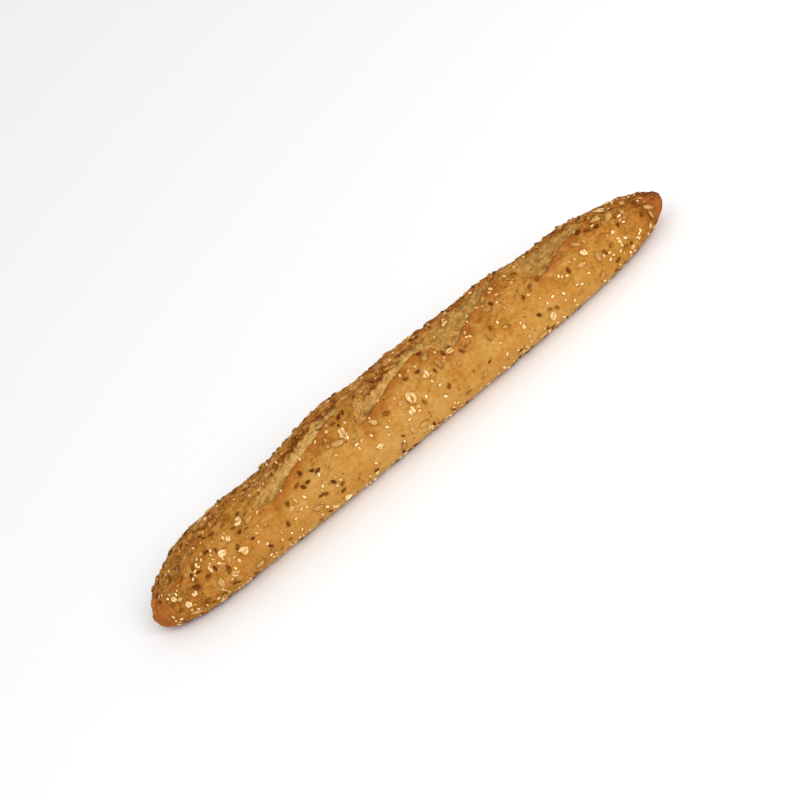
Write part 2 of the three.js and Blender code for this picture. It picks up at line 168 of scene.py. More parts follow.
# The waves of a slash's edges and of its ear's top, each by height, length and the first slash's seed.
NEAR_LONG, NEAR_SHORT, NEAR_FINE = (0.8, 11, 20), (0.7, 4, 50), (0.45, 1.7, 70)
FAR_LONG, FAR_SHORT = (1.3, 5.3, 0), (0.7, 2.1, 10)
EAR_WAVES = (0.22, 9, 30)
WAVE_VALUES = 512

RINGS, SEGMENTS = 560, 176
TIP_CROWDING = 25  # odd power that crowds the rings at the tips
SIDE_CROWDING, CROWDED_ANGLE = 0.5, math.radians(-32)
SLOPE_STEP = 0.01  # mm or radians, over which the skin's slope is measured


def smoothstep(x, low, high):
    t = np.clip((x - low) / (high - low), 0, 1)
    return t * t * (3 - 2 * t)


def lerp(low, high, t):
    return low + (high - low) * t


def hump(t):
    return np.exp(-t * t)


def ripple(x, waves, number=0):
    """Smooth ups and downs along x, as high as waves says, of one seeded value every length."""
    height, length, seed = waves
    values = np.random.default_rng(seed + number).uniform(-1, 1, WAVE_VALUES)
    t = np.asarray(x, float) / length + WAVE_VALUES // 2
    cell = np.floor(t).astype(int)
    low, high = values[cell % WAVE_VALUES], values[(cell + 1) % WAVE_VALUES]
    return height * lerp(low, high, smoothstep(t - cell, 0, 1))


def girth(x):
    """Share of the full section at x: an elliptical nose at each end and a slow taper to both."""
    blunt = 1 - np.clip((x + LENGTH / 2) / BLUNT_NOSE, 0, 1)
    slim = 1 - np.clip((LENGTH / 2 - x) / SLIM_NOSE, 0, 1)
    noses = np.sqrt((1 - blunt**2) * (1 - slim**2))
    blunt_taper = BLUNT_TAPER * smoothstep(-x, BLUNT_TAPER_FROM, BLUNT_TAPER_TO)
    slim_taper = SLIM_TAPER * smoothstep(x, SLIM_TAPER_FROM, SLIM_TAPER_TO)
    return noses * (1 - blunt_taper - slim_taper)


def plain_skin(x, angle):
    """The plain loaf at x, at an angle from the crown that grows towards +Y, in millimetres."""
    share = girth(x)
    upper = np.cos(angle) > 0
    power = np.where(upper, 2 / UPPER_POWER, 2 / LOWER_POWER)
    tip = np.where(x < 0, BLUNT_TIP_HEIGHT, SLIM_TIP_HEIGHT)
    middle = lerp(tip, BELT_HEIGHT, share ** np.where(x < 0, BLUNT_LIFT, SLIM_LIFT))
    crown = CROWN_RISE + BELLY_RISE * hump((x - BELLY_AT) / BELLY_LENGTH)
    across, upwards = np.sin(angle), np.cos(angle)
    y = share * HALF_WIDTH * np.sign(across) * np.abs(across) ** power
    rise = share * np.where(upper, crown, KEEL_DROP) * np.sign(upwards) * np.abs(upwards) ** power
    return np.stack(np.broadcast_arrays(x, y, middle + rise), -1)


def outward(x, angle):
    """Outward normal of the plain loaf."""
    inner = np.clip(x, -LENGTH / 2 + 2 * SLOPE_STEP, LENGTH / 2 - 2 * SLOPE_STEP)
    along = plain_skin(inner + SLOPE_STEP, angle) - plain_skin(inner - SLOPE_STEP, angle)
    around = plain_skin(inner, angle + SLOPE_STEP) - plain_skin(inner, angle - SLOPE_STEP)
    normal = np.cross(along, around)
    return normal / np.linalg.norm(normal, axis=-1, keepdims=True)


def beside_slash(slash, x, angle):
    """Where a place lies beside a slash: share along it, mm across it, how open it is, its two lips."""
    along = (x - slash.start) / (slash.end - slash.start)
    inner = np.clip(along, 0, 1)
    middle = -np.radians(lerp(slash.low, slash.high, inner) - SLASH_BOW * np.sin(np.pi * inner))
    across = (angle - middle) * HALF_WIDTH * np.maximum(girth(x), LEAST_GIRTH)
    closed = smoothstep(along, CLOSES_FROM, CLOSES_TO)
    is_open = smoothstep(along, OPENS_FROM, OPENS_TO) * (1 - closed)
    leaf = lerp(LEAF_FLAT, LEAF_EARED, min(1, slash.ear))
    far_lip = np.maximum(LEAST_GAPE, slash.gape * np.sin(np.pi * inner**leaf)) / 2
    near_lip = -far_lip - slash.sag * hump((x - slash.sag_at) / SAG_LENGTH)
    return along, across, is_open, near_lip, far_lip


def slash_relief(x, angle):
    """What the slashes do to the skin: moves out and down the side, and where each finish lies."""
    flat = np.zeros(np.broadcast(x, angle).shape)
    finishes = ("out", "slip", "torn", "crumb", "bare", "lip", "ear", "rim", "glow", "fringe")
    relief = {name: flat.copy() for name in finishes}
    grain = np.stack(np.broadcast_arrays(x, angle * HALF_WIDTH), -1).astype(float)
    for number, slash in enumerate(SLASHES):
        along, across, is_open, near_lip, far_lip = beside_slash(slash, x, angle)
        wavy = ripple(x, NEAR_LONG, number) + ripple(x, NEAR_SHORT, number)
        calm = np.minimum(1, far_lip / CALM_LIP)
        low_edge = near_lip + wavy * calm + ripple(x, NEAR_FINE, number)
        high_edge = far_lip + ripple(x, FAR_LONG, number) + ripple(x, FAR_SHORT, number)
        inside = smoothstep(across, low_edge - NEAR_TURN, low_edge + NEAR_TURN)
        past = smoothstep(across, high_edge - FAR_TURN, high_edge + FAR_TURN)
        fall = 1 - smoothstep(across, far_lip + EAR_TOP, far_lip + EAR_WIDTH)
        has_ear = min(1, slash.ear)
        eared = is_open * (slash.ear > 0)
        upper_end = eared * smoothstep(along, EAR_FROM, EAR_TO)
        torn = is_open * (inside - past)
        share = np.clip((across - near_lip) / (far_lip - near_lip), 0, 1)
        relief["out"] += is_open * RIM_RISE * hump((across - low_edge + RIM_WIDTH) / RIM_WIDTH)
        floor_depth = lerp(1 - FLOOR_CLIMB * share, 1 - FLOOR_CLIMB * (1 - share) / 2, has_ear)
        relief["out"] -= torn * CRUMB_DEPTH * floor_depth
        relief["out"] += is_open * slash.ear * past * fall * (1 + ripple(x, EAR_WAVES, number))
        hangs = hump((across - high_edge - OVERHANG_AT) / OVERHANG_WIDTH)
        relief["slip"] += has_ear * upper_end * EAR_OVERHANG * hangs
        puff = slash.swell * hump((x - lerp(slash.start, slash.end, SWELL_ALONG)) / SWELL_LENGTH)
        puff = puff - slash.waist * hump((x - lerp(slash.start, slash.end, WAIST_ALONG)) / WAIST_LENGTH)
        relief["out"] += puff * hump((angle - PUFF_ANGLE) / PUFF_SPREAD)
        below = smoothstep(low_edge - across, -RIM_TURN, RIM_TURN)
        beyond = np.maximum(near_lip - across, across - far_lip)
        rim_share = is_open * far_lip / (far_lip + NARROW_LIP)
        glow_width = lerp(GLOW_WIDTH_FLAT, GLOW_WIDTH_EARED, has_ear)
        low_end = 1 - smoothstep(along, FRINGE_FROM, FRINGE_TO)
        marks = {
            "torn": torn,
            "crumb": torn * slash.bare,
            "bare": is_open * slash.bare * (1 - smoothstep(beyond, BARE_FROM, BARE_TO)),
            "lip": upper_end * slash.burnt * hump((across - high_edge - BURNT_AT) / BURNT_WIDTH),
            "ear": upper_end * past * fall,
            "rim": rim_share * hump((across - low_edge + BROWN_RIM_AT) / BROWN_RIM_WIDTH),
            "glow": rim_share * below * hump((across - low_edge + GLOW_AT) / glow_width),
            "fringe": eared * low_end * past * hump((across - far_lip) / FRINGE_WIDTH),
        }
        for name, mark in marks.items():
            relief[name] = np.maximum(relief[name], mark)
        near = (is_open * hump(across / GRAIN_REACH) > GRAIN_SHARE)[..., None]
        beside = np.stack(np.broadcast_arrays(x, across + GRAIN_APART * number), -1)
        grain = np.where(near, beside, grain)
    relief["grain"] = grain
    return relief


def skin(x, angle, relief):
    """The finished loaf in millimetres, flattened where it stood on the tray."""
    point = plain_skin(x, angle)
    normal = outward(x, angle)
    point = point + normal * relief["out"][..., None]
    point[..., 1] -= normal[..., 2] * relief["slip"]
    point[..., 2] += normal[..., 1] * relief["slip"]
    point[..., 2] = np.maximum(point[..., 2], 0)
    return point


bpy.ops.mesh.primitive_uv_sphere_add(segments=SEGMENTS, ring_count=RINGS, radius=1)
crust = bpy.context.object
crust.name = "crust"
bpy.ops.object.mode_set(mode="EDIT")
bpy.ops.mesh.select_all(action="SELECT")
bpy.ops.transform.rotate(value=math.radians(90), orient_axis="Y", center_override=(0, 0, 0))
bpy.ops.object.mode_set(mode="OBJECT")

ball = np.empty(3 * len(crust.data.vertices))
crust.data.vertices.foreach_get("co", ball)
ball = ball.reshape(-1, 3)
evenly = 2 / np.pi * np.arcsin(np.clip(ball[:, 0], -1, 1))
ring_place = LENGTH / 2 * (TIP_CROWDING * evenly - evenly**TIP_CROWDING) / (TIP_CROWDING - 1)
turned = np.arctan2(ball[:, 1], ball[:, 2])
skin_angle = turned - SIDE_CROWDING * (np.sin(turned - CROWDED_ANGLE) + np.sin(CROWDED_ANGLE))
skin_angle = (skin_angle + np.pi) % (2 * np.pi) - np.pi

relief = slash_relief(ring_place, skin_angle)
loaf = skin(ring_place, skin_angle, relief)
normals = outward(ring_place, skin_angle)


NOISE_SHIFT = (17.3, 5.1, 9.7)  # between one seed's noise and the next one's


def layered(points, length, octaves, seed):
    """Layered noise of the points' places, about -1 to 1, with its largest lumps of a length."""
    shift = Vector([step * seed for step in NOISE_SHIFT])
    return np.array([noise.fractal(Vector(p) / length + shift, 1, 2, octaves) for p in points])


# The crust is roughest on the ears, the crown and the blunt end, and smooth at the bare tips.
CROWN_TURN, CROWN_WIDTH = math.radians(8), math.radians(58)
BLUNT_CROWN_TURN, BLUNT_CROWN_WIDTH = math.radians(-8), math.radians(46)
BLUNT_CRUST_FROM, BLUNT_CRUST_TO = 110, 225
SLIM_CRUST_FROM, SLIM_CRUST_TO = 140, 230
TIP_FROM, TIP_TO = 206, 232
FRINGE_ROUGH, CROWN_ROUGH = 0.7, 0.7
BLUNT_CROWN_ROUGH, BLUNT_ROUGH = 0.85, 0.7

crown_share = hump((skin_angle - CROWN_TURN) / CROWN_WIDTH)
blunt_end = smoothstep(-ring_place, BLUNT_CRUST_FROM, BLUNT_CRUST_TO)
slim_end = smoothstep(ring_place, SLIM_CRUST_FROM, SLIM_CRUST_TO)
tip_share = smoothstep(np.abs(ring_place), TIP_FROM, TIP_TO)
blunt_knobs = blunt_end * (1 - tip_share)
blunt_crown = blunt_knobs * hump((skin_angle - BLUNT_CROWN_TURN) / BLUNT_CROWN_WIDTH)
rough = np.maximum.reduce([
    relief["ear"],
    FRINGE_ROUGH * relief["fringe"],
    BLUNT_CROWN_ROUGH * blunt_crown,
    BLUNT_ROUGH * blunt_knobs,
    CROWN_ROUGH * crown_share,
])

# The fine relief: its heights in mm, and what shapes its crags, cracks, knobs and fibres.
LUMP_HEIGHT, PIMPLE_HEIGHT = 0.65, 0.2
CRAG_HEIGHT, KNOB_HEIGHT, CRACK_DEPTH = 0.6, 1, 0.6
FIBRE_HEIGHT, BUBBLE_HEIGHT, FRINGE_HEIGHT = 0.55, 0.8, 0.6
CRAG_TOP, CRAG_SLOPE = 0.35, 2
CRACK_STRETCH, CRACK_WIDTH = 0.4, 0.07
KNOB_FROM, KNOB_TO, KNOB_SPREAD = 0.18, 0.5, 1.3
BLUNT_EXTRA = 0.5  # share by which the blunt end is craggier
FOOT_SMOOTH = 6  # height of the smooth foot
FIBRE_STRETCH = 5

lumps = layered(loaf, length=21, octaves=2, seed=1)
pimples = layered(loaf, length=3.4, octaves=3, seed=2)
crags = rough * (CRAG_TOP - CRAG_SLOPE * np.abs(layered(loaf, length=6, octaves=4, seed=4)))
drawn_out = layered(loaf * (CRACK_STRETCH, 1, 1), length=6, octaves=3, seed=7)
cracks = rough * hump(drawn_out / CRACK_WIDTH)
bubbles = layered(loaf, length=5, octaves=2, seed=5)
rounded = smoothstep(layered(loaf, length=5.5, octaves=1, seed=6), KNOB_FROM, KNOB_TO)
knobs = np.minimum(1, KNOB_SPREAD * rough) * rounded
grain_along, grain_across = relief["grain"].T
grain_place = np.column_stack([grain_along / FIBRE_STRETCH, grain_across, lumps])
fibres = layered(grain_place, length=1.5, octaves=3, seed=3)
knobbly = (1 + BLUNT_EXTRA * blunt_end) * (CRAG_HEIGHT * crags + KNOB_HEIGHT * knobs)
fine = LUMP_HEIGHT * lumps + PIMPLE_HEIGHT * pimples + knobbly - CRACK_DEPTH * cracks
fine = smoothstep(loaf[:, 2], 0, FOOT_SMOOTH) * fine
fine += relief["torn"] * (FIBRE_HEIGHT * fibres + BUBBLE_HEIGHT * bubbles)
fine += relief["fringe"] * FRINGE_HEIGHT * fibres
loaf = loaf + normals * fine[:, None]
loaf[:, 2] = np.maximum(loaf[:, 2], 0)
crust.data.vertices.foreach_set("co", (loaf * MM).ravel())
crust.data.update()
bpy.ops.object.mode_set(mode="EDIT")
bpy.ops.mesh.select_all(action="SELECT")
bpy.ops.mesh.normals_make_consistent(inside=False)
bpy.ops.object.mode_set(mode="OBJECT")
bpy.ops.object.shade_smooth()


def store(piece, name, values):
    """Keeps one number for each vertex under a name that a material can read."""
    attribute = piece.data.attributes.new(name, "FLOAT", "POINT")
    attribute.data.foreach_set("value", np.asarray(values, np.float32))


# How brown the crust is baked, about 0 to 1, with painted light and shade in it: browner on the crown
# and the ends, darker on the far side and just above the flat base, painted shade in the cracks, and
# painted light that makes the foot and the crags paler.
MEAN_BAKE, CROWN_BAKE = 0.32, 0.12
BLUNT_SIDE_BAKE, BLUNT_CROWN_BAKE = 0.17, 0.09
SLIM_SIDE_BAKE, SLIM_CROWN_BAKE = 0.19, 0.1
SLIM_TIP_BAKE, BLUNT_TIP_SIDE_BAKE, BLUNT_TIP_CROWN_BAKE = 0.3, 0.21, -0.03
FOOT_LIGHT_FROM, FOOT_LIGHT_TO = 2, 16
DARKER_FOOT_FROM, DARKER_FOOT_TO = 2.8, 4.6
FAR_FROM, FAR_TO = math.radians(14), math.radians(42)
FAR_FADE, FADES_FROM, FADES_TO = 0.8, math.radians(46), math.radians(80)
PALE_SIDE_AT, PALE_SIDE_LENGTH = -5, 75
BLUNT_FADE = 0.9  # share of the crown's browning that the blunt end lacks

# Painted light: the crust is paler low on the foot, where the floor shades it.
foot_painted_light = 1 - smoothstep(loaf[:, 2], FOOT_LIGHT_FROM, FOOT_LIGHT_TO)
# The crust is darker up to 2.8 mm above the flat base, fading out by 4.6 mm.
darker_foot = 1 - smoothstep(loaf[:, 2], DARKER_FOOT_FROM, DARKER_FOOT_TO)
far_side = smoothstep(skin_angle, FAR_FROM, FAR_TO)
far_side = far_side * (1 - FAR_FADE * smoothstep(skin_angle, FADES_FROM, FADES_TO))
pale_side = (1 - crown_share) * hump((ring_place - PALE_SIDE_AT) / PALE_SIDE_LENGTH)
blunt_tip = lerp(BLUNT_TIP_SIDE_BAKE, BLUNT_TIP_CROWN_BAKE, crown_share)
bake_and_shade = MEAN_BAKE + CROWN_BAKE * crown_share * (1 - BLUNT_FADE * blunt_end)
bake_and_shade += blunt_end * lerp(BLUNT_SIDE_BAKE, BLUNT_CROWN_BAKE, crown_share)
bake_and_shade += slim_end * lerp(SLIM_SIDE_BAKE, SLIM_CROWN_BAKE, crown_share)
bake_and_shade += tip_share * np.where(ring_place > 0, SLIM_TIP_BAKE, blunt_tip)
for share, darker in (
    (pale_side, -0.05),
    (lumps, 0.08),
    (foot_painted_light, -0.14),
    # Painted light and shade on the relief: paler on the crags' tops, darker in the cracks.
    (crags, -0.24),
    (knobs, 0.1),
    (cracks, 0.4),
    (darker_foot, 0.5),
    (far_side, 0.18),
):
    bake_and_shade += darker * share

# Where a floor is bare all over, painted light and shade make its crumb paler on the crown, which the
# lamp lights less, and darker on the side, which it lights more.
BARE_FLOOR_FROM, CROWN_LIMIT = 0.7, 0.87
CROWN_LIGHT, SIDE_DARK, EVEN_DARK = 2, 1.22, 0.06
bare_floor = np.maximum(0, relief["bare"] - BARE_FLOOR_FROM)
crumb_painted_light = bare_floor * (CROWN_LIGHT * np.minimum(crown_share, CROWN_LIMIT) - SIDE_DARK) - EVEN_DARK

# Redder patches lie on the blunt end, the ears and the torn floors, and both tips are redder all over.
BLUNT_PATCHY, EAR_PATCHY, TORN_PATCHY = 0.9, 0.6, 0.8
RED_TIP_FROM, RED_TIP_TO = 214, 232
patchy = [BLUNT_PATCHY * blunt_end, EAR_PATCHY * relief["ear"], TORN_PATCHY * relief["torn"]]
for finish in ("crumb", "lip", "ear", "rim", "glow", "fringe"):
    store(crust, finish, relief[finish])
store(crust, "bake_and_shade", bake_and_shade)
store(crust, "rough", rough)
store(crust, "crumb_painted_light", crumb_painted_light)
store(crust, "tip", smoothstep(np.abs(ring_place), RED_TIP_FROM, RED_TIP_TO))
store(crust, "patchy", np.maximum.reduce(patchy))
store(crust, "bubbles", bubbles)
store(crust, "grain_along", grain_along)
store(crust, "grain_across", grain_across)


def colour(red, green, blue):
    """A paint colour of 0 to 255 as the linear colour that a shader takes."""
    steps = [c / 255 for c in (red, green, blue)]
    return [c / 12.92 if c <= 0.04045 else ((c + 0.055) / 1.055) ** 2.4 for c in steps] + [1]


class Finish:
    """A material whose nodes are added one by one, each reading values or other nodes' outputs."""

    def __init__(self, name):
        self.material = bpy.data.materials.new(name)
        self.material.use_nodes = True
        self.tree = self.material.node_tree
        self.shader = self.tree.nodes["Principled BSDF"]

    def feed(self, socket, value):
        if isinstance(value, bpy.types.NodeSocket):
            self.tree.links.new(value, socket)
        else:
            socket.default_value = value

    def add(self, kind, out=0, settings=(), **inputs):
        node = self.tree.nodes.new(kind)
        for name, value in dict(settings).items():
            setattr(node, name, value)
        for name, value in inputs.items():
            key = int(name[1:]) if name[1:].isdigit() else name.replace("_", " ")
            self.feed(node.inputs[key], value)
        return node.outputs[out]

    def stored(self, name):
        return self.add("ShaderNodeAttribute", "Fac", {"attribute_name": name})

    def maths(self, operation, first, *others):
        """One value from two or more, taken in turn."""
        for other in others:
            first = self.add("ShaderNodeMath", 0, {"operation": operation}, _0=first, _1=other)
        return first

    def sum(self, *values):
        return self.maths("ADD", *values)

    def product(self, *values):
        return self.maths("MULTIPLY", *values)

    def largest(self, *values):
        return self.maths("MAXIMUM", *values)

    def spread(self, noise_tone, reach):
        """Noise about its middle, drawn out to reach on the whole."""
        return self.product(self.maths("SUBTRACT", noise_tone, 0.5), reach)

    def within(self, value, low, high):
        """0 to 1 as value goes from low to high."""
        return self.add("ShaderNodeMapRange", 0, Value=value, From_Min=low, From_Max=high)

    def mix(self, share, first, second, most=1):
        """The first colour, going to the second by most of the way where share is 1."""
        if most < 1:
            share = self.product(share, most)
        return self.add("ShaderNodeMix", 2, {"data_type": "RGBA"}, _0=share, _6=first, _7=second)

    def patches(self, place, length, detail=2, roughness=0.5):
        """Noise whose patches are about length across, from 0 to 1."""
        sizes = {"Scale": 1 / length, "Detail": detail, "Roughness": roughness}
        return self.add("ShaderNodeTexNoise", 0, Vector=place, **sizes)

    def ramp(self, value, stops):
        node = self.tree.nodes.new("ShaderNodeValToRGB")
        while len(node.color_ramp.elements) < len(stops):
            node.color_ramp.elements.new(0.5)
        for element, (position, paint) in zip(node.color_ramp.elements, stops):
            element.position = position
            element.color = paint
        self.feed(node.inputs[0], value)
        return node.outputs[0]

    def bump(self, height, distance, strength, normal=None):
        inputs = {"Height": height, "Distance": distance, "Strength": strength}
        if normal is not None:
            inputs["Normal"] = normal
        return self.add("ShaderNodeBump", 0, **inputs)

    def coat(self, piece, paint, roughness, gloss, normal=None):
        """Puts the material on a piece, with its colour, how matt it is and how much it shines."""
        self.feed(self.shader.inputs["Base Color"], paint)
        self.feed(self.shader.inputs["Roughness"], roughness)
        self.feed(self.shader.inputs["Specular IOR Level"], gloss)
        if normal is not None:
            self.feed(self.shader.inputs["Normal"], normal)
        piece.data.materials.clear()
        piece.data.materials.append(self.material)


baked = Finish("baked_crust")
spot = baked.add("ShaderNodeTexCoord", "Object")
along_loaf = baked.add("ShaderNodeVectorMath", 0, {"operation": "MULTIPLY"}, _0=spot, _1=(0.5, 1, 1))
clouds = baked.patches(spot, length=12 * MM, detail=3)
mottle = baked.patches(spot, length=3.2 * MM, detail=4, roughness=0.65)
dust = baked.patches(spot, length=0.9 * MM, detail=2, roughness=0.6)
blots = baked.patches(along_loaf, length=2.8 * MM, detail=4, roughness=0.7)
how_rough = baked.stored("rough")
level = baked.sum(
    baked.stored("bake_and_shade"),
    baked.spread(clouds, 0.42),
    baked.spread(mottle, 0.5),
    baked.spread(dust, 0.46),
    baked.product(how_rough, baked.spread(blots, 1)),
    baked.product(how_rough, baked.spread(clouds, 0.6)),
)
crust_colour = baked.ramp(level, [
    (0.0, colour(212, 167, 99)),
    (0.22, colour(197, 146, 74)),
    (0.42, colour(182, 124, 48)),
    (0.6, colour(161, 102, 34)),
    (0.8, colour(134, 76, 17)),
    (1.0, colour(90, 48, 7)),
])

# Olive and ruddy patches, flour and bran on the crust, and a redder line below each slash.
olive = baked.within(baked.patches(spot, length=9 * MM, detail=3, roughness=0.6), 0.45, 0.75)
olive = baked.product(olive, baked.sum(baked.product(how_rough, 0.4), 0.45))
crust_colour = baked.mix(olive, crust_colour, baked.ramp(level, [
    (0.0, colour(198, 160, 86)),
    (0.5, colour(162, 118, 48)),
    (1.0, colour(102, 64, 17)),
]))
ruddy = baked.within(baked.patches(spot, length=11 * MM, detail=3, roughness=0.6), 0.5, 0.7)
ruddy_spots = baked.patches(spot, length=6.5 * MM, detail=3, roughness=0.6)
ruddy_spots = baked.within(ruddy_spots, 0.54, 0.62)
ruddy_share = baked.largest(
    baked.product(ruddy, 0.4),
    baked.product(baked.stored("tip"), 0.85),
    baked.product(ruddy_spots, baked.stored("patchy"), 0.75),
    baked.product(baked.stored("ear"), 0.4),
)
crust_colour = baked.mix(ruddy_share, crust_colour, baked.ramp(level, [
    (0.0, colour(222, 158, 88)),
    (0.5, colour(186, 108, 44)),
    (1.0, colour(108, 54, 13)),
]))
flour = baked.within(baked.patches(spot, length=2.2 * MM, detail=3, roughness=0.7), 0.60, 0.72)
crust_colour = baked.mix(flour, crust_colour, colour(228, 188, 122), most=0.2)
bran_spots = baked.within(baked.patches(spot, length=1.6 * MM, detail=1), 0.72, 0.78)
crust_colour = baked.mix(bran_spots, crust_colour, colour(112, 66, 18), most=0.5)
glow = baked.product(baked.stored("glow"), baked.within(clouds, 0.26, 0.5))
crust_colour = baked.mix(glow, crust_colour, colour(158, 84, 26), most=0.9)


def along_fibres(along, across):
    """A place that follows the slashes, shrunk along them and across them."""
    return baked.add(
        "ShaderNodeCombineXYZ",
        X=baked.product(baked.stored("grain_along"), along),
        Y=baked.product(baked.stored("grain_across"), across),
    )


# The torn crumb is pale and fibrous, with bran in it.
fibre_tone = baked.patches(along_fibres(0.5 * MM, 0.7 * MM), length=0.9 * MM, detail=3, roughness=0.7)
crumb_tone = baked.sum(
    baked.product(fibre_tone, 0.4),
    baked.product(mottle, 0.14),
    baked.product(dust, 0.46),
    baked.product(baked.stored("bubbles"), 0.12),
    baked.stored("crumb_painted_light"),
)
crumb_colour = baked.ramp(crumb_tone, [
    (0.35, colour(130, 92, 42)),
    (0.44, colour(176, 131, 66)),
    (0.53, colour(203, 158, 83)),
    (0.66, colour(226, 184, 110)),
])
ruddy_crumb = baked.within(baked.patches(spot, length=7 * MM, detail=3), 0.45, 0.65)
crumb_colour = baked.mix(ruddy_crumb, crumb_colour, colour(196, 144, 78), most=0.2)
crumb_specks = baked.within(baked.patches(spot, length=1.1 * MM, detail=1), 0.64, 0.7)
crumb_colour = baked.mix(crumb_specks, crumb_colour, colour(98, 62, 20), most=0.6)

# Crust and crumb meet in a ragged fringe. Each slash has a brown rim below it and a burnt lip above.
fringe = baked.stored("fringe")
seams = baked.patches(along_fibres(0.16 * MM, 1 * MM), length=1 * MM, detail=2, roughness=0.6)
seam_share = baked.product(fringe, baked.within(seams, 0.52, 0.6))
crust_colour = baked.mix(seam_share, crust_colour, colour(134, 70, 20), most=0.8)
streaks = baked.within(fibre_tone, 0.42, 0.62)
skinned = baked.patches(along_loaf, length=5 * MM, detail=3, roughness=0.6)
torn_share = baked.largest(baked.stored("crumb"), baked.product(fringe, streaks))
torn_share = baked.sum(torn_share, baked.spread(mottle, 0.9), baked.spread(skinned, 1.3))
torn_share = baked.within(torn_share, 0.35, 0.65)
whole_colour = baked.mix(torn_share, crust_colour, crumb_colour)
broken_rim = baked.product(baked.stored("rim"), baked.within(clouds, 0.35, 0.6))
whole_colour = baked.mix(broken_rim, whole_colour, colour(140, 76, 20), most=0.85)
broken_lip = baked.product(baked.stored("lip"), baked.within(blots, 0.42, 0.56))
whole_colour = baked.mix(broken_lip, whole_colour, colour(88, 46, 10), most=0.9)
# Painted shade in a ring around each topping.
whole_colour = baked.mix(baked.stored("contact_shade"), whole_colour, colour(120, 68, 18), most=0.45)

matt = baked.add("ShaderNodeMapRange", 0, Value=torn_share, To_Min=0.7, To_Max=0.9)
craggy = baked.bump(baked.product(blots, how_rough), distance=1.2 * MM, strength=0.8)
wrinkles = baked.bump(mottle, distance=0.5 * MM, strength=0.7, normal=craggy)
grainy = baked.bump(dust, distance=0.25 * MM, strength=0.7, normal=wrinkles)
baked.coat(crust, whole_colour, roughness=matt, gloss=0.05, normal=grainy)

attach(crust, "root")
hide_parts("baguette")

# ------------------------------------------------------------------ Where the toppings lie
# The shaped loaf is rolled in oat flakes, sunflower kernels, linseeds, sesame and kibbled grain before
# it is baked. They stick where the dough was wet: most at both ends, along the crown and at the foot.
# The largest are laid first, and each lies on the crust as it falls on it.
TOPPING_CLEARANCE = 9
CRUMB_MARGIN = 3
SMALLEST, LARGEST = 0.72, 1.08  # scales of a topping
BARE_TIP = 12
SEEDED_ANGLE, FOOT_ANGLE = math.radians(118), math.radians(146)
SPARSE = 0.22
BLUNT_END_FROM, BLUNT_END_TO = 110, 170
SLIM_END_FROM, SLIM_END_TO = 130, 190
CROWN_SHARE, CROWN_ANGLE, CROWN_SPREAD = 0.95, math.radians(8), math.radians(48)
FOOT_SHARE, FOOT_FROM, FOOT_TO = 0.6, math.radians(96), math.radians(112)
SLIM_SHARE = 0.6
NOSE_CROWDING = 1.3
CLUMP_LENGTH, CLUMP_LEVEL, CLUMP_EDGE = 8, 3.7, 0.3
ROOM = {
    "oat": 6,
    "kernel": 5.5,
    "oat_bit": 3.2,
    "kernel_bit": 3.4,
    "linseed": 3.2,
    "sesame": 2.4,
    "grit": 1.4,
}
DRAW_MODULUS, DRAW_FACTOR = 2147483647, 48271
draw_state = 20417
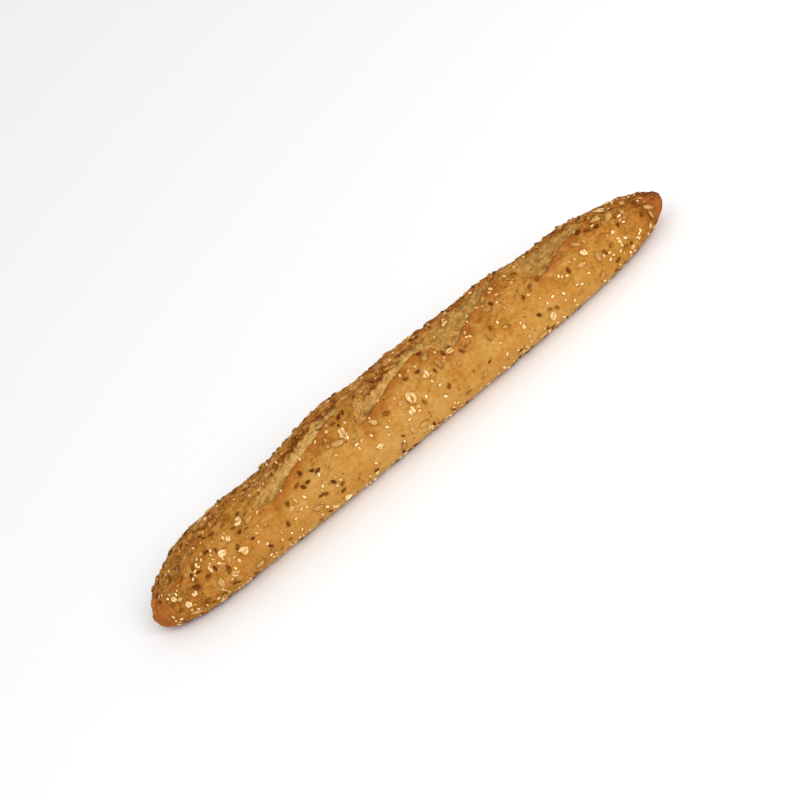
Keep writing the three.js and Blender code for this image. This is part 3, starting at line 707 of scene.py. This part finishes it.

# The toppings that stand out on the slashed side, listed one by one: kind, place along the loaf,
# degrees from the crown towards -Y, turn in degrees and scale.
STANDING_OUT = [
    ("oat", 7, 55, 60, 1.3),
    ("oat", -47, 35, 80, 1),
    ("oat", -33, 80, 20, 0.75),
    ("oat", 122, 94, 40, 0.95),
    ("oat", 168, 44, 60, 0.85),
    ("oat", 25, 44, 90, 0.75),
    ("oat", -146, 29, 10, 1),
    ("oat", -155, 69, 170, 1),
    ("oat", -211, 80, 100, 0.8),
    ("oat", -168, 51, 170, 0.85),
    ("oat", 49, 39, 160, 0.8),
    ("oat", 59, -5, 10, 0.9),
    ("oat", -202, 70, 70, 0.7),
    ("oat", -170, 89, 140, 0.8),
    ("oat", -158, 40, 60, 0.6),
    ("oat", -217, 53, 120, 0.7),
    ("oat", -73, 111, 0, 0.9),
    ("oat", 219, 97, 20, 0.65),
    ("kernel", -25, 50, 125, 0.95),
    ("kernel", -55, 41, 170, 1),
    ("kernel", 37, 43, 100, 0.95),
    ("kernel", 88, 25, 170, 0.95),
    ("kernel", 168, 98, 60, 0.9),
    ("kernel", 190, 8, 130, 1),
    ("kernel", -182, 85, 70, 1),
    ("kernel", -190, 122, 15, 1),
    ("kernel", -168, 124, 160, 0.95),
    ("kernel", 167, 25, 95, 0.9),
    ("kernel", 174, 64, 70, 0.9),
    ("kernel", -138, 38, 10, 0.9),
    ("kernel", -56, 6, 10, 1),
    ("kernel", -31, 0, 160, 0.85),
    ("kernel", -7, 91, 90, 0.9),
    ("kernel", 2, 95, 0, 0.9),
    ("kernel", 58, 96, 30, 0.8),
    ("kernel", 224, 74, 60, 0.9),
    ("linseed", -171, 74, 100, 1),
    ("linseed", -177, 34, 25, 1.1),
    ("linseed", -142, 20, 0, 1),
    ("linseed", -138, 28, 15, 1),
    ("linseed", -109, 57, 45, 1.1),
    ("linseed", -96, 47, 20, 1.1),
    ("linseed", -89, 38, 105, 1.1),
    ("linseed", -81, 45, 150, 1.1),
    ("linseed", -84, 82, 140, 1),
    ("linseed", -14, 51, 150, 1.2),
    ("linseed", 12, 70, 95, 1),
    ("linseed", 12, 32, 150, 1.1),
    ("linseed", 22, 34, 170, 1.1),
    ("linseed", 56, 49, 110, 1),
    ("linseed", 82, 48, 55, 1),
    ("linseed", 114, 42, 80, 0.9),
    ("linseed", 123, 82, 140, 1),
    ("linseed", 128, 88, 110, 1),
    ("linseed", 151, 53, 75, 1.1),
    ("linseed", 187, 64, 10, 1),
    ("linseed", 51, 32, 30, 1),
    ("linseed", 44, 35, 110, 1),
    ("linseed", 32, 46, 80, 0.9),
    ("linseed", -42, 17, 10, 1),
    ("linseed", -38, 14, 40, 1),
    ("linseed", 174, 12, 0, 1.2),
    ("linseed", 180, 17, 150, 1.2),
    ("linseed", 188, 20, 130, 1.3),
    ("linseed", 220, 14, 170, 1),
    ("linseed", 185, 95, 10, 1.2),
    ("linseed", -211, 16, 60, 1.1),
    ("linseed", -166, 17, 20, 1.1),
    ("linseed", -198, 64, 150, 1.3),
    ("linseed", -186, 64, 170, 1.1),
    ("linseed", -138, 90, 130, 1),
]
placed = [
    {"kind": kind, "x": x, "angle": -math.radians(angle), "turn": math.radians(turn), "scale": scale}
    for kind, x, angle, turn, scale in STANDING_OUT
]


def draw():
    """The next repeatable draw between 0 and 1."""
    global draw_state
    draw_state = draw_state * DRAW_FACTOR % DRAW_MODULUS
    return draw_state / DRAW_MODULUS


def nose(x):
    """1 along the loaf, less on its noses."""
    return min(1, NOSE_CROWDING * girth(x))


def crowding(x, angle):
    """How thickly the toppings lie, from 0 to 1."""
    blunt = smoothstep(-x, BLUNT_END_FROM, BLUNT_END_TO)
    slim = SLIM_SHARE * smoothstep(x, SLIM_END_FROM, SLIM_END_TO)
    crown = CROWN_SHARE * hump((angle - CROWN_ANGLE) / CROWN_SPREAD)
    foot = FOOT_SHARE * smoothstep(abs(angle), FOOT_FROM, FOOT_TO)
    return max(SPARSE, blunt, slim, crown, foot) * nose(x)


def on_crumb(x, angle, margin):
    for slash in SLASHES:
        _, across, is_open, near_lip, far_lip = beside_slash(slash, x, angle)
        if is_open > 0 and near_lip - margin < across < far_lip + margin:
            return True
    return False


def scatter(kind, count, spread=0, crowd=crowding, margin=CRUMB_MARGIN, reach=SEEDED_ANGLE):
    """Draws places until there are count toppings of a kind, each with room beside the others."""
    target = len(placed) + count - sum(topping["kind"] == kind for topping in placed)
    while len(placed) < target:
        x = lerp(-1, 1, draw()) * (LENGTH / 2 - BARE_TIP)
        angle = lerp(-1, 1, draw()) * reach
        turn = 2 * math.pi * draw()
        scale = lerp(SMALLEST, LARGEST, draw())
        if draw() >= crowd(x, angle) or on_crumb(x, angle, margin):
            continue
        others = np.array([(other["x"], other["angle"], ROOM[other["kind"]]) for other in placed])
        gaps = np.hypot(others[:, 0] - x, (others[:, 1] - angle) * HALF_WIDTH)
        if (gaps > np.maximum(spread, (others[:, 2] + ROOM[kind]) / 2)).all():
            placed.append({"kind": kind, "x": x, "angle": angle, "turn": turn, "scale": scale})


def clumps(x, angle):
    """0 to 1, in patches: the small seeds stuck in clusters."""
    place = Vector((x / CLUMP_LENGTH, angle * HALF_WIDTH / CLUMP_LENGTH, CLUMP_LEVEL))
    return smoothstep(noise.noise(place), -CLUMP_EDGE, CLUMP_EDGE)


def on_ear(x, angle):
    return slash_relief(np.array([x]), np.array([angle]))["ear"][0]


def crowding_small(x, angle, least=0.38, foot=0.4, bare_crown=0.4, bare_width=math.radians(35)):
    """The small seeds lie in clusters, spread more evenly than the large toppings."""
    at_foot = foot * smoothstep(abs(angle), FOOT_FROM, FOOT_TO)
    thick = crowding(x, angle) * (1 - bare_crown * hump(angle / bare_width))
    return max(least, at_foot, thick) * clumps(x, angle)


def crowding_linseed(x, angle, even=0.8, foot=0.45, blunt=0.25):
    """Linseeds gather on the ears and low on the foot."""
    at_foot = foot * smoothstep(abs(angle), FOOT_TO, FOOT_ANGLE)
    at_blunt = blunt * smoothstep(-x, BLUNT_END_FROM, BLUNT_END_TO) * nose(x)
    return max(even * crowding(x, angle) * clumps(x, angle), at_blunt, at_foot, on_ear(x, angle))


def crowding_bits(x, angle, least=0.12, blunt=0.8, apart=0.1):
    """Broken flakes and kernels gather on the crown and the blunt end."""
    crown = hump((angle - CROWN_ANGLE) / CROWN_SPREAD)
    at_blunt = blunt * smoothstep(-x, BLUNT_END_FROM, BLUNT_END_TO)
    return max(least, crown, at_blunt) * lerp(apart, 1, clumps(x, angle)) * nose(x)


def crowding_grit(x, angle, least=0.25, even=0.5, foot=0.9):
    """Kibbled grain lies all over, most on the ears and the foot."""
    at_foot = foot * smoothstep(abs(angle), FOOT_FROM, FOOT_TO)
    return max(least + even * crowding(x, angle), at_foot, on_ear(x, angle))


# How many of a kind there are by then. A margin below 0 lets bits lie on the edges of the crumb.
scatter("oat", 28, spread=TOPPING_CLEARANCE)
scatter("kernel", 68, spread=TOPPING_CLEARANCE)
scatter("linseed", 38, spread=TOPPING_CLEARANCE)
scatter("oat_bit", 44, crowd=crowding_small, margin=0)
scatter("oat_bit", 60, crowd=crowding_bits, margin=-3)
scatter("kernel_bit", 150, crowd=crowding_bits, margin=-3)
scatter("linseed", 320, crowd=crowding_linseed, margin=1, reach=FOOT_ANGLE)
scatter("sesame", 500, crowd=crowding_small, margin=0, reach=FOOT_ANGLE)
scatter("grit", 700, crowd=crowding_grit, margin=-5, reach=FOOT_ANGLE)

FALL_HEIGHT, CORNER_FALL = 20, 10


def resting_place(topping, reach):
    """Where a topping lies on the crust, and the way up there, from five falls onto it."""
    x, angle = np.array([topping["x"]]), np.array([topping["angle"]])
    normal = Vector(outward(x, angle)[0])
    start = Vector(plain_skin(x, angle)[0]) * MM + FALL_HEIGHT * MM * normal
    _, hit, _, _ = crust.ray_cast(start, -normal)
    side = normal.orthogonal().normalized()
    other_side = normal.cross(side)
    corners = []
    for offset in (side, other_side, -side, -other_side):
        above = hit + reach * MM * offset + CORNER_FALL * MM * normal
        found, corner, _, _ = crust.ray_cast(above, -normal)
        corners.append(corner if found else hit)
    way_up = (corners[0] - corners[2]).cross(corners[1] - corners[3]).normalized()
    return hit, way_up


# The crust is painted darker in a thin ring around each topping, most on one side of it: painted shade
# where the topping meets the crust.
SHADE_RING_WIDTH, SHADE_RING_SIDE, SHADE_RING_EVEN = 0.6, 2.2, 0.6
contact_shade = np.zeros(len(loaf))
crust_places = kdtree.KDTree(len(loaf))
for number, point in enumerate(loaf * MM):
    crust_places.insert(point, number)
crust_places.balance()


def shade_around(hit, lie, half):
    """Marks painted shade on the crust around a topping that lies turned as lie, of half a length and a
    width.
    """
    for point, number, _ in crust_places.find_range(hit, (half.x + 2 * SHADE_RING_WIDTH) * MM):
        offset = lie.transposed() @ (point - hit) / MM
        outside = (math.hypot(offset.x / half.x, offset.y / half.y) - 1) * half.y
        side = math.cos(math.atan2(offset.y, offset.x) - SHADE_RING_SIDE)
        one_sided = SHADE_RING_EVEN + (1 - SHADE_RING_EVEN) * side
        contact_shade[number] = max(contact_shade[number], one_sided * hump(max(0, outside) / SHADE_RING_WIDTH))


LEAN = 0.24  # sine of how far a topping leans from lying flat
TOASTED_CROWN, MOST_TOASTED = 0.45, 0.999
STANDS_FREE = math.radians(8), math.radians(26)
OUTLINE_WAVES = (3, 0.6), (5, 0.5)  # times round a topping, and share of its stretch
PHASES = 6


def lay_all(name, model, kinds, bury, stretch, sink=0):
    """Copies a modelled topping to each of its places and joins the copies in one piece.

    Each is sunk in the crust by sink and up to bury more, shares of half its height. None goes through
    the tray under the loaf.
    """
    corners = np.array([vertex.co for vertex in model.data.vertices])
    faces = [list(polygon.vertices) for polygon in model.data.polygons]
    dark = np.empty(len(corners), np.float32)
    model.data.attributes["dark"].data.foreach_get("value", dark)
    half = np.abs(corners).max(0)
    chance = np.random.default_rng(len(name))
    points, polygons, tones, places = [], [], [], []
    for topping in placed:
        if topping["kind"] not in kinds:
            continue
        size = topping["scale"] * kinds[topping["kind"]]
        hit, way_up = resting_place(topping, float(half[1] * size))
        way_up += Vector(chance.uniform(-LEAN, LEAN, 3))
        spin = Matrix.Rotation(topping["turn"], 3, "Z")
        lie = way_up.to_track_quat("Z", "Y").to_matrix() @ spin
        shade_around(hit, lie, Vector(half * size))
        wobble = 1 + stretch * chance.uniform(-1, 1, 3)
        around = np.arctan2(corners[:, 1], corners[:, 0])
        waves = np.ones(len(corners))
        for times, share in OUTLINE_WAVES:
            waves += stretch * share * np.sin(times * around + chance.uniform(0, PHASES))
        copy = corners * size * wobble
        copy[:, :2] *= waves[:, None]
        buried = bury * chance.uniform() * (1 - smoothstep(topping["angle"], *STANDS_FREE))
        copy[:, 2] -= (sink + buried) * half[2] * size
        polygons += [[corner + len(points) for corner in face] for face in faces]
        laid = copy @ np.array(lie).T * MM + np.array(hit)
        laid[:, 2] = np.maximum(laid[:, 2], 0)
        points += laid.tolist()
        toasted = TOASTED_CROWN * hump((topping["angle"] - CROWN_ANGLE) / CROWN_SPREAD)
        tones += [lerp(toasted, 1, chance.uniform() * MOST_TOASTED)] * len(corners)
        places.append(corners * size)
    mesh = bpy.data.meshes.new(name)
    mesh.from_pydata(points, [], polygons)
    piece = bpy.data.objects.new(name, mesh)
    bpy.context.scene.collection.objects.link(piece)
    store(piece, "tone", tones)
    store(piece, "dark", np.tile(dark, len(places)))
    store(piece, "seed_along", np.concatenate(places)[:, 0])
    store(piece, "seed_across", np.concatenate(places)[:, 1])
    mesh.shade_smooth()
    bpy.data.objects.remove(model)
    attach(piece, "root")
    return piece


NARROWING = 1.5  # power of how a seed narrows to its point


def model_seed(name, segments, rings, size, point):
    """A ball drawn out to a seed of a size, narrowed towards +X by a share."""
    bpy.ops.mesh.primitive_uv_sphere_add(segments=segments, ring_count=rings, radius=0.5)
    seed = bpy.context.object
    seed.name = name
    bpy.ops.object.mode_set(mode="EDIT")
    bpy.ops.mesh.select_all(action="SELECT")
    bpy.ops.transform.rotate(value=math.radians(90), orient_axis="Y", center_override=(0, 0, 0))
    bpy.ops.transform.resize(value=size, center_override=(0, 0, 0))
    bpy.ops.object.mode_set(mode="OBJECT")
    for vertex in seed.data.vertices:
        narrow = 1 - point * max(0, vertex.co.x / (size[0] / 2)) ** NARROWING
        vertex.co.y *= narrow
        vertex.co.z *= (1 + narrow) / 2
    return seed


def shade_seed_edge(seed, size):
    """Marks a seed dark at its edge and light on its faces: painted shade at the rim and painted light
    on the faces.
    """
    store(seed, "dark", [1 - abs(vertex.co.z) / (size[2] / 2) for vertex in seed.data.vertices])


SEEDS_APART = 40  # between the patterns of a pale topping and a dark one


def along_seed(finish, stretch):
    """A place that follows each topping's own length and breadth, apart from the others'."""
    return finish.add(
        "ShaderNodeCombineXYZ",
        X=finish.product(finish.stored("seed_along"), stretch),
        Y=finish.stored("seed_across"),
        Z=finish.product(finish.stored("tone"), SEEDS_APART),
    )


# ------------------------------------------------------------------ Oat flakes
# Rolled oats, cream and matt, with a crease along the middle, ridges beside it and a thin toasted rim.
# Whole flakes and broken bits are one model, copied to each place and baked onto the crust.
OAT_SIZE = (7.8, 6.4, 1.4)
OAT_BIT_SCALE = 0.5
CREASE_DEPTH, CREASE_WIDTH, DARK_CREASE_WIDTH = 0.36, 0.55, 0.6
RIDGE_HEIGHT, RIDGE_TURNS = 0.1, 3.1
CUP = 0.03
DARK_CREASE = 0.65
RIM_FROM, DARK_RIM = 0.82, 3.5

flake = model_seed("flake", 28, 11, OAT_SIZE, point=0.12)
flake_dark = []
for vertex in flake.data.vertices:
    inward = 1 - abs(vertex.co.x) / OAT_SIZE[0]
    across = vertex.co.y
    vertex.co.z -= CREASE_DEPTH * math.exp(-(across / CREASE_WIDTH) ** 2) * inward
    vertex.co.z += RIDGE_HEIGHT * math.cos(RIDGE_TURNS * across) * inward
    vertex.co.z += CUP * across**2
    rim = 2 * max(abs(vertex.co.x) / OAT_SIZE[0], abs(across) / OAT_SIZE[1])
    crease = math.exp(-(across / DARK_CREASE_WIDTH) ** 2)
    flake_dark.append(max(DARK_CREASE * crease, DARK_RIM * max(0, rim - RIM_FROM)))
store(flake, "dark", flake_dark)
oats = lay_all("oat_flakes", flake, {"oat": 1, "oat_bit": OAT_BIT_SCALE}, bury=0.5, stretch=0.12)

rolled = Finish("rolled_oat")
spot = rolled.add("ShaderNodeTexCoord", "Object")
toast = rolled.patches(spot, length=3 * MM, detail=3)
ridges = rolled.patches(along_seed(rolled, 0.25), length=0.9)
level = rolled.sum(
    rolled.product(rolled.stored("dark"), 0.62),
    rolled.product(rolled.stored("tone"), 0.35),
    rolled.spread(toast, 0.8),
    rolled.spread(ridges, 1.2),
)
oat_colour = rolled.ramp(level, [
    (0.0, colour(248, 222, 168)),
    (0.3, colour(226, 184, 116)),
    (0.6, colour(190, 136, 70)),
    (1.0, colour(120, 74, 32)),
])
ridged = rolled.bump(ridges, distance=0.4 * MM, strength=0.7)
rolled.coat(oats, oat_colour, roughness=0.75, gloss=0.2, normal=ridged)

# ------------------------------------------------------------------ Sunflower kernels
# Hulled kernels, flat teardrops that roast to a tan with a faint oily sheen; their edges are darker,
# partly roasted and partly painted shade. Whole ones and broken bits are one model, and most lie half
# sunk in the crust.
KERNEL_SIZE = (9.6, 4.8, 3.1)
KERNEL_BIT_SCALE = 0.55
KERNEL_KINDS = {"kernel": 1, "kernel_bit": KERNEL_BIT_SCALE}
kernel = model_seed("kernel", 12, 9, KERNEL_SIZE, point=0.75)
shade_seed_edge(kernel, KERNEL_SIZE)
kernels = lay_all("sunflower_kernels", kernel, KERNEL_KINDS, bury=0.65, stretch=0.12)

roasted = Finish("roasted_kernel")
spot = roasted.add("ShaderNodeTexCoord", "Object")
toast = roasted.patches(spot, length=3 * MM, detail=3)
lines = roasted.patches(along_seed(roasted, 0.2), length=0.8)
# The edge is darker, partly roasted and partly painted shade.
edge = roasted.maths("POWER", roasted.stored("dark"), 2)
level = roasted.sum(
    roasted.product(edge, 0.55),
    roasted.product(roasted.stored("tone"), 0.5),
    roasted.spread(toast, 0.8),
    roasted.spread(lines, 0.9),
)
kernel_colour = roasted.ramp(level, [
    (0.0, colour(212, 168, 104)),
    (0.3, colour(192, 144, 78)),
    (0.65, colour(160, 110, 48)),
    (0.85, colour(118, 71, 20)),
    (1.0, colour(86, 48, 10)),
])
roasted.coat(kernels, kernel_colour, roughness=0.5, gloss=0.08)

# ------------------------------------------------------------------ Linseeds
# Brown linseeds, small flat drops with a hard coat that toasts almost dull. They are laid whole on the
# crust and baked onto it.
LINSEED_SIZE = (5.0, 3.0, 1.8)
drop = model_seed("drop", 8, 6, LINSEED_SIZE, point=0.45)
shade_seed_edge(drop, LINSEED_SIZE)
linseeds = lay_all("linseeds", drop, {"linseed": 1}, bury=0.5, stretch=0.06)

toasted_coat = Finish("linseed_coat")
worn = toasted_coat.patches(along_seed(toasted_coat, 0.5), length=1.6)
# The rim is painted darker and the faces lighter: painted shade and a painted highlight.
level = toasted_coat.sum(
    toasted_coat.product(toasted_coat.stored("dark"), 0.25),
    toasted_coat.product(toasted_coat.stored("tone"), 0.7),
    toasted_coat.spread(worn, 0.7),
)
linseed_colour = toasted_coat.ramp(level, [
    (0.0, colour(160, 98, 32)),
    (0.3, colour(126, 73, 17)),
    (0.6, colour(100, 54, 10)),
    (1.0, colour(72, 38, 5)),
])
toasted_coat.coat(linseeds, linseed_colour, roughness=0.5, gloss=0.05)

# ------------------------------------------------------------------ Sesame seeds
# Hulled sesame, the smallest pale seeds, some of them toasted. They lie flat on the crust in clusters
# and are baked onto it.
SESAME_SIZE = (3.4, 1.9, 1.4)
grain = model_seed("grain", 8, 6, SESAME_SIZE, point=0.5)
shade_seed_edge(grain, SESAME_SIZE)
sesame = lay_all("sesame_seeds", grain, {"sesame": 1}, bury=0.4, stretch=0.08)

pale = Finish("sesame_hull")
# The rim is painted darker and the faces lighter: painted shade and painted light.
level = pale.sum(pale.product(pale.stored("dark"), 0.3), pale.product(pale.stored("tone"), 0.75))
sesame_colour = pale.ramp(level, [
    (0.0, colour(252, 230, 182)),
    (0.45, colour(246, 214, 152)),
    (0.75, colour(230, 180, 106)),
    (1.0, colour(196, 138, 68)),
])
pale.coat(sesame, sesame_colour, roughness=0.6, gloss=0.2)

# ------------------------------------------------------------------ Kibbled grain
# Crumbs of dark kibbled grain and bran. They are in the dough as much as on it, so the torn crumb
# shows them too.
GRIT_SIZE = (1.5, 1.1, 0.9)
GRIT_DARK = 0.5
bpy.ops.mesh.primitive_ico_sphere_add(subdivisions=1, radius=0.5)
crumb = bpy.context.object
bpy.ops.object.mode_set(mode="EDIT")
bpy.ops.mesh.select_all(action="SELECT")
bpy.ops.transform.resize(value=GRIT_SIZE, center_override=(0, 0, 0))
bpy.ops.object.mode_set(mode="OBJECT")
store(crumb, "dark", [GRIT_DARK] * len(crumb.data.vertices))
grit = lay_all("grit", crumb, {"grit": 1}, bury=0.4, stretch=0.3, sink=0.2)

bran = Finish("kibbled_bran")
bran_colour = bran.ramp(bran.stored("tone"), [
    (0.0, colour(206, 150, 78)),
    (0.3, colour(152, 92, 34)),
    (0.6, colour(108, 60, 16)),
    (1.0, colour(72, 38, 8)),
])
bran.coat(grit, bran_colour, roughness=0.7, gloss=0.1)

store(crust, "contact_shade", contact_shade)
